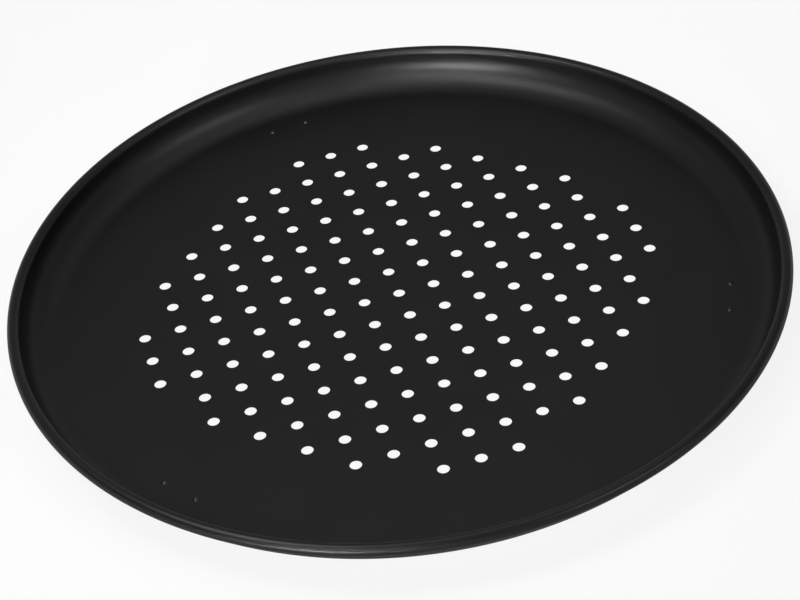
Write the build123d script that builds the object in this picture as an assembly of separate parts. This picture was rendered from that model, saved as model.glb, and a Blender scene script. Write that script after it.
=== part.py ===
from build123d import *
import os
from math import acos, degrees, radians, tan

# A round perforated pizza pan with a rolled rim, standing on three small feet.
# Millimetres. +Z is up, the pan's axis is the Z axis, and the feet stand on z = 0.
# The square pattern of holes runs along X and Y.

# Pan shell: one pressed sheet
outer_diameter = 406.0
sheet = 0.7
cove_radius = 16.0
straight_wall = 2.3
roll_diameter = 6.4
roll_seam_gap = 0.4

# Perforation: how many holes lie on each side of the middle one, from the middle row outwards
hole_diameter = 6.2
hole_pitch = 19.05
holes_beside_middle = (7, 7, 6, 6, 5, 4, 3, 1)

# Feet: bent straps evenly round the floor, each spot welded to it at its two ends
foot_nodes = ("rear_foot", "left_foot", "right_foot")
first_foot_angle = 95
foot_inset = 9.0
foot_height = 6.0
strap = 0.8
strap_width = 9.0
strap_bend_radius = 1.4
leg_angle = 65

# Spot welds
weld_spacing = 20.5
weld_land = 4.0
weld_diameter = 3.0
pip_diameter = 2.2
pip_height = 0.35

# One overrun serves every through cut
overrun = 5.0

# Radii and heights that follow from the sizes above
wall_radius = outer_diameter / 2 - roll_diameter
floor_radius = wall_radius - cove_radius
floor_top = foot_height + sheet
cove_height = floor_top + cove_radius
roll_height = cove_height + straight_wall
foot_circle_radius = floor_radius - foot_inset


def shell_middle_line():
    """Middle of the sheet's thickness, from the pan's axis out to the free edge of the roll."""
    half = sheet / 2
    roll_radius = roll_diameter / 2
    seam_angle = degrees(acos((roll_radius - sheet - roll_seam_gap) / roll_radius))
    floor = Line((0, floor_top - half), (floor_radius, floor_top - half))
    cove = CenterArc((floor_radius, cove_height), cove_radius + half, 270, 90)
    wall = Line((wall_radius + half, cove_height), (wall_radius + half, roll_height))
    roll = CenterArc((wall_radius + roll_radius, roll_height), roll_radius - half, 180, seam_angle - 360)
    return Wire([floor, cove, wall, roll])


def strap_middle_line():
    """Middle of the strap's thickness, from one end to the other: a low bridge that dips to its foot."""
    half = strap / 2
    end = weld_spacing / 2 + strap_width / 2
    leg_top = weld_spacing / 2 - weld_land
    leg_bottom = leg_top - (foot_height - strap) / tan(radians(leg_angle))
    right = [(leg_bottom, half - foot_height), (leg_top, -half), (end, -half)]
    left = [(-x, z) for x, z in reversed(right)]
    return FilletPolyline(*left, *right, radius=strap_bend_radius)


def hole_places():
    """Centres of the holes: rows along X, symmetric about both axes."""
    places = []
    for row, beside in enumerate(holes_beside_middle):
        for column in range(-beside, beside + 1):
            places.append((column * hole_pitch, row * hole_pitch))
            if row:
                places.append((column * hole_pitch, -row * hole_pitch))
    return places


def foot_place(number):
    """Middle of one foot, on the floor's underside: X runs along the strap and Z is up."""
    angle = first_foot_angle + number * 360 / len(foot_nodes)
    return Rot(0, 0, angle) * Pos(foot_circle_radius, 0, foot_height) * Rot(0, 0, 90)


def weld_places():
    """The two weld centres of a foot, in the foot's own frame."""
    return [Pos(side * weld_spacing / 2, 0, 0) for side in (-1, 1)]


def weld_bores():
    """Room for both welds of a foot, through the floor and the strap."""
    return [place * Cylinder(weld_diameter / 2, 2 * overrun) for place in weld_places()]


def make_shell():
    """Pressed, pierced and rolled sheet."""
    shell = revolve(Plane.XZ * trace(shell_middle_line(), sheet), Axis.Z)
    holes = [Pos(x, y, floor_top) * Cylinder(hole_diameter / 2, 2 * overrun) for x, y in hole_places()]
    bores = [foot_place(number) * bore for number in range(len(foot_nodes)) for bore in weld_bores()]
    return shell - holes - bores


def make_foot():
    """Bent strap with round ends about its two welds."""
    bridge = extrude(Plane.XZ * trace(strap_middle_line(), strap), strap_width / 2, both=True)
    plan = Pos(0, 0, -foot_height) * SlotCenterToCenter(weld_spacing, strap_width)
    return (bridge & extrude(plan, foot_height)) - weld_bores()


def make_weld():
    """Nugget that joins the strap to the floor, with the small pip that shows on the food side."""
    nugget_radius = weld_diameter / 2
    pip_radius = pip_diameter / 2
    pip_top = (0, sheet + pip_height)
    pip_edge = (pip_radius, sheet)
    pip_curve_radius = (pip_radius**2 + pip_height**2) / (2 * pip_height)
    dome = RadiusArc(pip_edge, pip_top, -pip_curve_radius)
    sides = Polyline(pip_top, (0, -strap), (nugget_radius, -strap), (nugget_radius, sheet), pip_edge)
    return revolve(Plane.XZ * make_face(sides + dome), Axis.Z)


def write(shape, node):
    """Save one node under its name."""
    shape.label = node
    export_step(shape, f"parts/{node}.step")


os.makedirs("parts", exist_ok=True)

write(make_shell(), "pan_shell")

foot = make_foot()
weld = make_weld()
welds = []
for number, node in enumerate(foot_nodes):
    write(foot_place(number) * foot, node)
    welds += [foot_place(number) * place * weld for place in weld_places()]
write(Compound(welds), "spot_welds")
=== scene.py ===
from math import acos, asin, cos, pi, radians, sin, tan

import bmesh
import bpy
from mathutils import Matrix, Vector


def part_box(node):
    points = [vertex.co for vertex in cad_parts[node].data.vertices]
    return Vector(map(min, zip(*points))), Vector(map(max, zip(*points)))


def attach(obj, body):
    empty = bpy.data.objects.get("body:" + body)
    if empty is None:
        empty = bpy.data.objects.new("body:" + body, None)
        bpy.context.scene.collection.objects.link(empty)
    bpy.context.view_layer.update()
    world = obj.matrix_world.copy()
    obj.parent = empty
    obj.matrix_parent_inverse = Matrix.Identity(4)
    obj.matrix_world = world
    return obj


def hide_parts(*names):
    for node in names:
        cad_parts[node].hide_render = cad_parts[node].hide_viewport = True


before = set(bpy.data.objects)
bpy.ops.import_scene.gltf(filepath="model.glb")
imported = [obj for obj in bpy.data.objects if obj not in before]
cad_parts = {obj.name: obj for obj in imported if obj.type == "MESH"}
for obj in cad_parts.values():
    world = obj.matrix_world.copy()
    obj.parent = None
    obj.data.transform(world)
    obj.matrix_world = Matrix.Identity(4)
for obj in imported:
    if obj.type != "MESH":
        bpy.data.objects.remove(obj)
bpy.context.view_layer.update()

# A round perforated pizza pan with a black non-stick coat, on a pale floor.
# Metres, in the frame's own axes: +Z is up and the pan's axis is the Z axis.

MM = 0.001

# Pan shell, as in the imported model
outer_radius = min(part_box("pan_shell")[1].xy)
sheet = 0.7 * MM
cove_radius = 16 * MM
roll_radius = 3.2 * MM
roll_seam_gap = 0.4 * MM
floor_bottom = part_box("pan_shell")[0].z
floor_top = floor_bottom + sheet
wall_radius = outer_radius - 2 * roll_radius
floor_radius = wall_radius - cove_radius
cove_height = floor_top + cove_radius
roll_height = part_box("pan_shell")[1].z - roll_radius

# Perforation: the coat makes each hole a little narrower
hole_diameter = 6.2 * MM
coat_in_holes = 0.05 * MM
hole_radius = hole_diameter / 2 - coat_in_holes
hole_pitch = 19.05 * MM
hole_lip = 0.22 * MM
holes_beside_middle = (7, 7, 6, 6, 5, 4, 3, 1)

# Width of the flat strip that keeps the shading even beside a soft edge
flat_margin = 0.3 * MM

# Feet and their welds
foot_nodes = ("rear_foot", "left_foot", "right_foot")
first_foot_angle = 95
foot_inset = 9 * MM
foot_circle_radius = floor_radius - foot_inset
foot_height = floor_bottom
strap = 0.8 * MM
strap_width = 9 * MM
strap_bend_radius = 1.4 * MM
strap_edge_radius = 0.25 * MM
leg_angle = 65
weld_spacing = 20.5 * MM
weld_land = 4 * MM
weld_radius = 1.5 * MM
pip_radius = 1.46 * MM
pip_height = 0.95 * MM
pip_flare = 0.15 * MM
mark_height = 0.15 * MM

# The pip is a dome down to this share of its angle and flares out below it
dome_share = 0.9

# Where the camera stands
camera_azimuth = -102.41

# How finely the round forms are divided
turn_steps = 360
cove_steps = 16
under_cove_steps = 12
roll_steps = 64
roll_inside_steps = 24
edge_steps = 6
cell_side_steps = 8
lip_steps = 3
under_lip_steps = 2
strap_edge_steps = 4
bend_steps = 8
round_steps = 12
weld_turn_steps = 32
dome_steps = 9
flare_steps = 5
mark_steps = 6

# Points nearer than this are one point, and edges this near a height lie at it
merge_distance = 0.005 * MM
level_tolerance = 0.01 * MM


def arc(centre, radius, start, end, steps):
    """Points on a circle in the section plane, as (radius from the axis, height), angles in degrees."""
    angles = [radians(start + (end - start) * i / steps) for i in range(steps + 1)]
    return [(centre[0] + radius * cos(a), centre[1] + radius * sin(a)) for a in angles]


def shell_section():
    """Closed section outside the flat floor: over the cove, round the roll and back along the underside."""
    cove_centre = (floor_radius, cove_height)
    roll_centre = (wall_radius + roll_radius, roll_height)
    seam = 180 / pi * acos((roll_radius - sheet - roll_seam_gap) / roll_radius)
    roll_end = 180 + seam - 360
    edge_radius = roll_radius - sheet / 2
    edge_centre = (
        roll_centre[0] + edge_radius * cos(radians(roll_end)),
        roll_centre[1] + edge_radius * sin(radians(roll_end)),
    )
    start = floor_radius - flat_margin
    top = [(start, floor_top)] + arc(cove_centre, cove_radius, 270, 360, cove_steps)
    outside = arc(roll_centre, roll_radius, 180, roll_end, roll_steps)
    edge = arc(edge_centre, sheet / 2, roll_end, roll_end - 180, edge_steps)
    inside = arc(roll_centre, roll_radius - sheet, roll_end, 180, roll_inside_steps)
    under = arc(cove_centre, cove_radius + sheet, 360, 270, under_cove_steps) + [(start, floor_bottom)]
    return top + outside + edge[1:-1] + inside + under


def hole_places():
    """Centres of the holes: rows along X, symmetric about both axes."""
    places = []
    for row, beside in enumerate(holes_beside_middle):
        for column in range(-beside, beside + 1):
            places.append((column * hole_pitch, row * hole_pitch))
            if row:
                places.append((column * hole_pitch, -row * hole_pitch))
    return places


def square_ring():
    """Points round one cell of the perforation, anticlockwise from the middle of its right side."""
    points = []
    for i in range(4 * cell_side_steps):
        along = (i + cell_side_steps / 2) % (4 * cell_side_steps)
        side, step = divmod(along, cell_side_steps)
        offset = (step / cell_side_steps - 0.5) * hole_pitch
        x, y = hole_pitch / 2, offset
        for _ in range(int(side)):
            x, y = -y, x
        points.append((x, y))
    return points


def soft_lip(steps):
    """Soft edge of a hole from the flat face inward, as (radius, depth below the face)."""
    curve = [(hole_radius + hole_lip * (1 - sin(a)), hole_lip * (1 - cos(a)))
             for a in [pi / 2 * i / steps for i in range(steps + 1)]]
    return [(hole_radius + hole_lip + flat_margin, 0)] + curve


def hole_rings():
    """Rings of one hole: from the cell's edge on top, through the hole, to its edge on the underside."""
    count = 4 * cell_side_steps
    turns = [2 * pi * i / count for i in range(count)]
    square = square_ring()
    circles = [(r, floor_top - drop) for r, drop in soft_lip(lip_steps)]
    circles += [(r, floor_bottom + drop) for r, drop in reversed(soft_lip(under_lip_steps))]
    rings = [[(x, y, floor_top) for x, y in square]]
    rings += [[(r * cos(a), r * sin(a), z) for a in turns] for r, z in circles]
    rings += [[(x, y, floor_bottom) for x, y in square]]
    return rings


def join_rings(bm, rings, closed=True):
    """Quads between rows of vertices of the same length."""
    for first, second in zip(rings, rings[1:]):
        count = len(first)
        for i in range(count if closed else count - 1):
            j = (i + 1) % count
            bm.faces.new((first[i], first[j], second[j], second[i]))


def add_hole_cells(bm):
    """One square cell of the floor for each hole, both sides of the sheet and the hole's wall."""
    rings = hole_rings()
    for place in hole_places():
        rows = [[bm.verts.new((x + place[0], y + place[1], z)) for x, y, z in ring] for ring in rings]
        join_rings(bm, [list(reversed(row)) for row in rows])


def open_edges_at(bm, height):
    """Edges with one face that lie at this height."""
    open_edges = [edge for edge in bm.edges if len(edge.link_faces) == 1]
    return [edge for edge in open_edges if all(abs(v.co.z - height) < level_tolerance for v in edge.verts)]


def make_shell():
    """The pressed, pierced and rolled sheet as one closed mesh."""
    bm = bmesh.new()
    section = shell_section()
    rows = []
    for i in range(turn_steps):
        a = 2 * pi * i / turn_steps
        rows.append([bm.verts.new((r * cos(a), r * sin(a), z)) for r, z in section])
    join_rings(bm, rows + rows[:1], closed=False)
    add_hole_cells(bm)
    bmesh.ops.remove_doubles(bm, verts=bm.verts, dist=merge_distance)
    for height, normal in ((floor_top, (0, 0, 1)), (floor_bottom, (0, 0, -1))):
        edges = open_edges_at(bm, height)
        bmesh.ops.triangle_fill(bm, edges=edges, use_beauty=True, use_dissolve=False, normal=normal)
    return solid_piece("coated_shell", bm, ["pan_shell"])


def strap_stations():
    """Middle line of a strap between its welds, as (along, height, slope in radians), with round bends."""
    half = strap / 2
    leg_top = weld_spacing / 2 - weld_land
    leg_bottom = leg_top - (foot_height - strap) / tan(radians(leg_angle))
    setback = strap_bend_radius * tan(radians(leg_angle) / 2)
    down, flat = radians(leg_angle), 0.0
    stations = [(-weld_spacing / 2, -half, flat)]
    for corner, height, before, after in (
        (-leg_top, -half, flat, -down),
        (-leg_bottom, half - foot_height, -down, flat),
        (leg_bottom, half - foot_height, flat, down),
        (leg_top, -half, down, flat),
    ):
        turn = 1 if after > before else -1
        bend = turn * strap_bend_radius
        x0, z0 = corner - setback * cos(before), height - setback * sin(before)
        cx, cz = x0 - bend * sin(before), z0 + bend * cos(before)
        for i in range(bend_steps + 1):
            a = before + (after - before) * i / bend_steps
            stations.append((cx + bend * sin(a), cz - bend * cos(a), a))
    stations.append((weld_spacing / 2, -half, flat))
    return stations


def strap_layers():
    """Points of the strap's side, from its upper face to its lower one, as (height from middle, inset)."""
    half, soft = strap / 2, strap_edge_radius
    curve = [(half - soft + soft * cos(a), soft - soft * sin(a))
             for a in [pi / 2 * i / strap_edge_steps for i in range(strap_edge_steps + 1)]]
    upper = [(half, soft + flat_margin)] + curve
    return upper + [(-height, inset) for height, inset in reversed(upper)]


def make_foot(number):
    """Bent strap with round ends and soft edges under the floor."""
    layers = strap_layers()
    stations = strap_stations()
    rings = []
    for step in range(round_steps, 0, -1):
        rings.append((stations[0], -sin(pi / 2 * step / round_steps), cos(pi / 2 * step / round_steps)))
    rings += [(station, 0, 1) for station in stations]
    for step in range(1, round_steps + 1):
        rings.append((stations[-1], sin(pi / 2 * step / round_steps), cos(pi / 2 * step / round_steps)))
    place = foot_place(number)
    bm = bmesh.new()
    rows = []
    for (along, height, slope), reach, share in rings:
        row = []
        for side, order in ((1, layers), (-1, list(reversed(layers)))):
            for rise, inset in order:
                width = strap_width / 2 - inset
                x = along + reach * width - rise * sin(slope)
                z = height + rise * cos(slope)
                row.append(bm.verts.new(place @ Vector((x, side * share * width, z))))
        rows.append(row)
    join_rings(bm, rows)
    return solid_piece("coated_" + foot_nodes[number], bm, [foot_nodes[number]])


def foot_place(number):
    """Middle of one foot, on the floor's underside: X runs along the strap and Z is up."""
    angle = radians(first_foot_angle + number * 360 / len(foot_nodes))
    return (Matrix.Rotation(angle, 4, "Z") @ Matrix.Translation((foot_circle_radius, 0, foot_height))
            @ Matrix.Rotation(pi / 2, 4, "Z"))


def weld_profile():
    """Half section of one weld from the top of its pip to the bottom of its mark, as (radius, height)."""
    ball = (pip_radius**2 + pip_height**2) / (2 * pip_height)
    spread = asin(pip_radius / ball)
    foot_of_dome = spread * dome_share
    dome = [(ball * sin(a), sheet + pip_height - ball * (1 - cos(a)))
            for a in [foot_of_dome * i / dome_steps for i in range(dome_steps + 1)]]
    low_r, low_z = dome[-1]
    centre_r = low_r + pip_flare * sin(foot_of_dome)
    centre_z = low_z + pip_flare * cos(foot_of_dome)
    flare = [(centre_r - pip_flare * sin(a), centre_z - pip_flare * cos(a))
             for a in [foot_of_dome * (1 - i / flare_steps) for i in range(flare_steps + 1)]]
    drop = flare[-1][1] - sheet
    flare = [(r, z - drop) for r, z in flare]
    dome = [(r, z - drop) for r, z in dome]
    shoulder = sheet - strap_edge_radius
    stem = [(flare[-1][0], shoulder), (weld_radius, shoulder), (weld_radius, -strap)]
    mark = [(weld_radius * cos(a), -strap - mark_height * sin(a))
            for a in [pi / 2 * i / mark_steps for i in range(1, mark_steps + 1)]]
    return dome + flare[1:] + stem + mark


def make_welds():
    """Each weld with the pip that shows on the food side and the flat mark under the strap."""
    bm = bmesh.new()
    profile = weld_profile()
    for number in range(len(foot_nodes)):
        for side in (-1, 1):
            place = foot_place(number) @ Matrix.Translation((side * weld_spacing / 2, 0, 0))
            rows = []
            for i in range(weld_turn_steps):
                a = 2 * pi * i / weld_turn_steps
                rows.append([bm.verts.new(place @ Vector((r * cos(a), r * sin(a), z))) for r, z in profile])
            join_rings(bm, rows + rows[:1], closed=False)
    return solid_piece("weld_pips", bm, ["spot_welds"])


def solid_piece(name, bm, nodes):
    """Join what touches, turn the faces outward and make the piece that stands for these CAD nodes."""
    bmesh.ops.remove_doubles(bm, verts=bm.verts, dist=merge_distance)
    bmesh.ops.recalc_face_normals(bm, faces=bm.faces)
    mesh = bpy.data.meshes.new(name)
    bm.to_mesh(mesh)
    bm.free()
    mesh.shade_smooth()
    piece = bpy.data.objects.new(name, mesh)
    bpy.context.scene.collection.objects.link(piece)
    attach(piece, "root")
    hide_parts(*nodes)
    return piece


def node(tree, kind, inputs=None, **settings):
    """One shader node with its settings and input values or links."""
    made = tree.nodes.new(kind)
    for name, value in settings.items():
        setattr(made, name, value)
    for name, value in (inputs or {}).items():
        if isinstance(value, bpy.types.NodeSocket):
            tree.links.new(value, made.inputs[name])
        else:
            made.inputs[name].default_value = value
    return made


def grey(value):
    """An opaque grey colour."""
    return (value, value, value, 1)


def new_material(name):
    """An empty material and its node tree."""
    material = bpy.data.materials.new(name)
    material.use_nodes = True
    material.node_tree.nodes.clear()
    return material, material.node_tree


def coat_material(name, roughness, rim_roughness, ior=1.4):
    """Satin black non-stick coat: finely pebbled, faintly cloudy, and smoother where the rim is rolled."""
    floor_end, rim_start = floor_radius + 9 * MM, wall_radius + 2 * MM
    grain_share, cloud_share = 0.05, 0.02
    noise_mean = 0.03
    pebble_depth, grain_depth = 0.01 * MM, 0.004 * MM
    darker, lighter = grey(0.0030), grey(0.0044)
    material, tree = new_material(name)
    place = node(tree, "ShaderNodeTexCoord").outputs["Object"]
    flat = node(tree, "ShaderNodeVectorMath", {0: place, 1: (1, 1, 0)}, operation="MULTIPLY")
    reach = node(tree, "ShaderNodeVectorMath", {0: flat.outputs["Vector"]}, operation="LENGTH")
    drawn = node(tree, "ShaderNodeMapRange", {
        "Value": reach.outputs["Value"], "From Min": floor_end, "From Max": rim_start,
        "To Min": roughness - noise_mean, "To Max": rim_roughness - noise_mean,
    }, interpolation_type="SMOOTHSTEP")
    cloud = node(tree, "ShaderNodeTexNoise", {
        "Vector": place, "Scale": 26.0, "Detail": 4.0, "Roughness": 0.6})
    grain = node(tree, "ShaderNodeTexNoise", {
        "Vector": place, "Scale": 1400.0, "Detail": 3.0, "Roughness": 0.6})
    pebble = node(tree, "ShaderNodeTexNoise", {
        "Vector": place, "Scale": 520.0, "Detail": 2.0, "Roughness": 0.5})
    shade = node(tree, "ShaderNodeMapRange", {
        "Value": cloud.outputs["Fac"], "From Min": 0.3, "From Max": 0.7})
    colour = node(tree, "ShaderNodeMix", {"Factor": shade.outputs["Result"]}, data_type="RGBA")
    colour.inputs["A"].default_value = darker
    colour.inputs["B"].default_value = lighter
    satin = node(tree, "ShaderNodeMath", {
        0: grain.outputs["Fac"], 1: grain_share, 2: drawn.outputs["Result"]}, operation="MULTIPLY_ADD")
    rough = node(tree, "ShaderNodeMath", {
        0: shade.outputs["Result"], 1: cloud_share, 2: satin.outputs["Value"]}, operation="MULTIPLY_ADD")
    peel = node(tree, "ShaderNodeBump", {
        "Height": pebble.outputs["Fac"], "Strength": 1.0, "Distance": pebble_depth})
    fine = node(tree, "ShaderNodeBump", {
        "Height": grain.outputs["Fac"], "Strength": 1.0, "Distance": grain_depth,
        "Normal": peel.outputs["Normal"]})
    shader = node(tree, "ShaderNodeBsdfPrincipled", {
        "Base Color": colour.outputs["Result"], "Roughness": rough.outputs["Value"],
        "Normal": fine.outputs["Normal"], "IOR": ior})
    node(tree, "ShaderNodeOutputMaterial", {"Surface": shader.outputs["BSDF"]})
    return material


def floor_material():
    """Pale floor: near white to the camera, with the pan's soft shadow, and clearing to white farther out."""
    below_end, beside_start = 0.16, 0.2
    clear_start, clear_end = 0.3, 0.9
    paint_to_light, paint_to_camera = 0.5, 0.95
    material, tree = new_material("pale_floor")
    path = node(tree, "ShaderNodeLightPath")
    place = node(tree, "ShaderNodeTexCoord").outputs["Object"]
    reach = node(tree, "ShaderNodeVectorMath", {0: place}, operation="LENGTH")
    bounced = node(tree, "ShaderNodeMath", {
        0: path.outputs["Is Glossy Ray"], 1: path.outputs["Is Transmission Ray"]}, operation="MAXIMUM")
    shares = []
    # Painted light: under the pan the floor glows more to the camera than beside it, filling the pan's shadow
    # seen through the holes
    for ray, below_pan, beside_pan in (
        (path.outputs["Is Camera Ray"], 0.94, 0.85),
        (bounced.outputs["Value"], 0.15, 0.15),
    ):
        beside = node(tree, "ShaderNodeMapRange", {
            "Value": reach.outputs["Value"], "From Min": below_end, "From Max": beside_start,
            "To Min": below_pan, "To Max": beside_pan})
        clear = node(tree, "ShaderNodeMapRange", {
            "Value": reach.outputs["Value"], "From Min": clear_start, "From Max": clear_end,
            "To Min": beside.outputs["Result"], "To Max": 1.0,
        }, interpolation_type="SMOOTHSTEP")
        shares.append(node(tree, "ShaderNodeMath", {
            0: ray, 1: clear.outputs["Result"]}, operation="MULTIPLY"))
    share = node(tree, "ShaderNodeMath", {
        0: shares[0].outputs["Value"], 1: shares[1].outputs["Value"]}, operation="MAXIMUM")
    pale = node(tree, "ShaderNodeMapRange", {
        "Value": path.outputs["Is Camera Ray"], "To Min": paint_to_light, "To Max": paint_to_camera})
    paint = node(tree, "ShaderNodeBsdfDiffuse", {"Color": pale.outputs["Result"]})
    glow = node(tree, "ShaderNodeEmission", {"Color": grey(1), "Strength": 1.0})
    mix = node(tree, "ShaderNodeMixShader", {
        0: share.outputs["Value"], 1: paint.outputs["BSDF"], 2: glow.outputs["Emission"]})
    node(tree, "ShaderNodeOutputMaterial", {"Surface": mix.outputs["Shader"]})
    return material


def make_floor():
    """A square floor that the feet stand on."""
    half = 4.0
    corners = [(-half, -half, 0), (half, -half, 0), (half, half, 0), (-half, half, 0)]
    mesh = bpy.data.meshes.new("floor")
    mesh.from_pydata(corners, [], [(0, 1, 2, 3)])
    floor = bpy.data.objects.new("floor", mesh)
    bpy.context.scene.collection.objects.link(floor)
    floor.data.materials.append(floor_material())


def direction(azimuth, elevation):
    """Unit vector, angles in degrees: azimuth from +X toward +Y, elevation above the floor."""
    a, e = radians(azimuth), radians(elevation)
    return Vector((cos(e) * cos(a), cos(e) * sin(a), sin(e)))


def make_camera():
    """The photograph's view: a long lens that looks down on the pan from the front, rolled a little."""
    target = Vector((-1.25 * MM, -5.5 * MM, floor_top - sheet / 2))
    distance = 1.0895
    elevation = 39.79
    roll = radians(7.44)
    away = direction(camera_azimuth, elevation)
    data = bpy.data.cameras.new("camera")
    data.lens = 93.8
    data.sensor_width = 36
    camera = bpy.data.objects.new("camera", data)
    bpy.context.scene.collection.objects.link(camera)
    turn = (-away).to_track_quat("-Z", "Y").to_matrix().to_4x4()
    stand = Matrix.Translation(target + away * distance)
    camera.matrix_world = stand @ turn @ Matrix.Rotation(-roll, 4, "Z")
    bpy.context.scene.camera = camera


def soft_box(name, left, elevation, distance, width, height, radiance, aim=Vector((0, 0, 0)), grid=180):
    """A rectangular lamp at its angle to the left of the camera; a grid narrows its beam about the aim."""
    stand = direction(camera_azimuth - left, elevation) * distance
    data = bpy.data.lights.new(name, "AREA")
    data.shape = "RECTANGLE"
    data.size = width
    data.size_y = height
    data.energy = radiance * pi * width * height
    if grid < 180:
        # The radiance along the middle of the beam stays as given
        half = radians(grid) / 2
        data.spread = 2 * half
        data.energy *= 1 - half / tan(half)
    lamp = bpy.data.objects.new(name, data)
    bpy.context.scene.collection.objects.link(lamp)
    lamp.visible_camera = False
    turn = (aim - stand).to_track_quat("-Z", "Y").to_matrix().to_4x4()
    lamp.matrix_world = Matrix.Translation(stand) @ turn


def make_lamps():
    """Soft boxes: two before the pan at the left, one high at the left, weak ones above and at the right."""
    far_rim = direction(camera_azimuth - 198, 0) * wall_radius
    far_left_rim = direction(camera_azimuth - 150, 0) * wall_radius
    over_far_rim = far_rim + Vector((0, 0, 117 * MM))
    # Degrees left of the camera, elevation, distance, width, height, radiance, aim and the grid's angle
    soft_box("low_lamp", 28, 9.5, 1.73, 0.48, 0.52, 195.0, over_far_rim, 13)
    soft_box("key_lamp", 28.1, 45.8, 1.61, 0.44, 0.69, 19.0, far_rim, 32)
    soft_box("high_lamp", 70.7, 64.0, 0.87, 0.24, 0.35, 10.0)
    soft_box("top_lamp", -128.6, 77.8, 1.03, 0.69, 0.59, 0.9)
    soft_box("fill_lamp", -57, 40, 1.68, 1.0, 0.8, 6.6, far_left_rim, 36)


def make_world():
    """A white band round the horizon under a ceiling that is dark in front and paler behind the pan."""
    behind_pan = direction(camera_azimuth + 180, 35)
    band_top, ceiling_start = sin(radians(5)), sin(radians(12))
    ceiling_in_front, ceiling_behind = 0.03, 0.25
    world = bpy.data.worlds.new("studio")
    bpy.context.scene.world = world
    world.use_nodes = True
    tree = world.node_tree
    tree.nodes.clear()
    toward = node(tree, "ShaderNodeTexCoord").outputs["Generated"]
    height = node(tree, "ShaderNodeSeparateXYZ", {"Vector": toward}).outputs["Z"]
    behind = node(tree, "ShaderNodeVectorMath", {0: toward, 1: behind_pan}, operation="DOT_PRODUCT")
    ceiling = node(tree, "ShaderNodeMapRange", {
        "Value": behind.outputs["Value"], "From Min": 0.1, "From Max": 1.0,
        "To Min": ceiling_in_front, "To Max": ceiling_behind,
    }, interpolation_type="SMOOTHSTEP")
    glow = node(tree, "ShaderNodeMapRange", {
        "Value": height, "From Min": band_top, "From Max": ceiling_start,
        "To Min": 1.0, "To Max": ceiling.outputs["Result"],
    }, interpolation_type="SMOOTHSTEP")
    sky = node(tree, "ShaderNodeBackground", {"Color": grey(1), "Strength": glow.outputs["Result"]})
    node(tree, "ShaderNodeOutputWorld", {"Surface": sky.outputs["Background"]})


def main():
    """The pan, its floor, camera and light."""
    coat = coat_material("black_non_stick_coat", 0.44, 0.38)
    for piece in [make_shell()] + [make_foot(number) for number in range(len(foot_nodes))]:
        piece.data.materials.append(coat)
    make_welds().data.materials.append(coat_material("coat_over_welds", 0.3, 0.3, ior=1.6))
    make_floor()
    make_camera()
    make_world()
    make_lamps()
    bpy.context.scene.view_settings.view_transform = "Standard"


main()
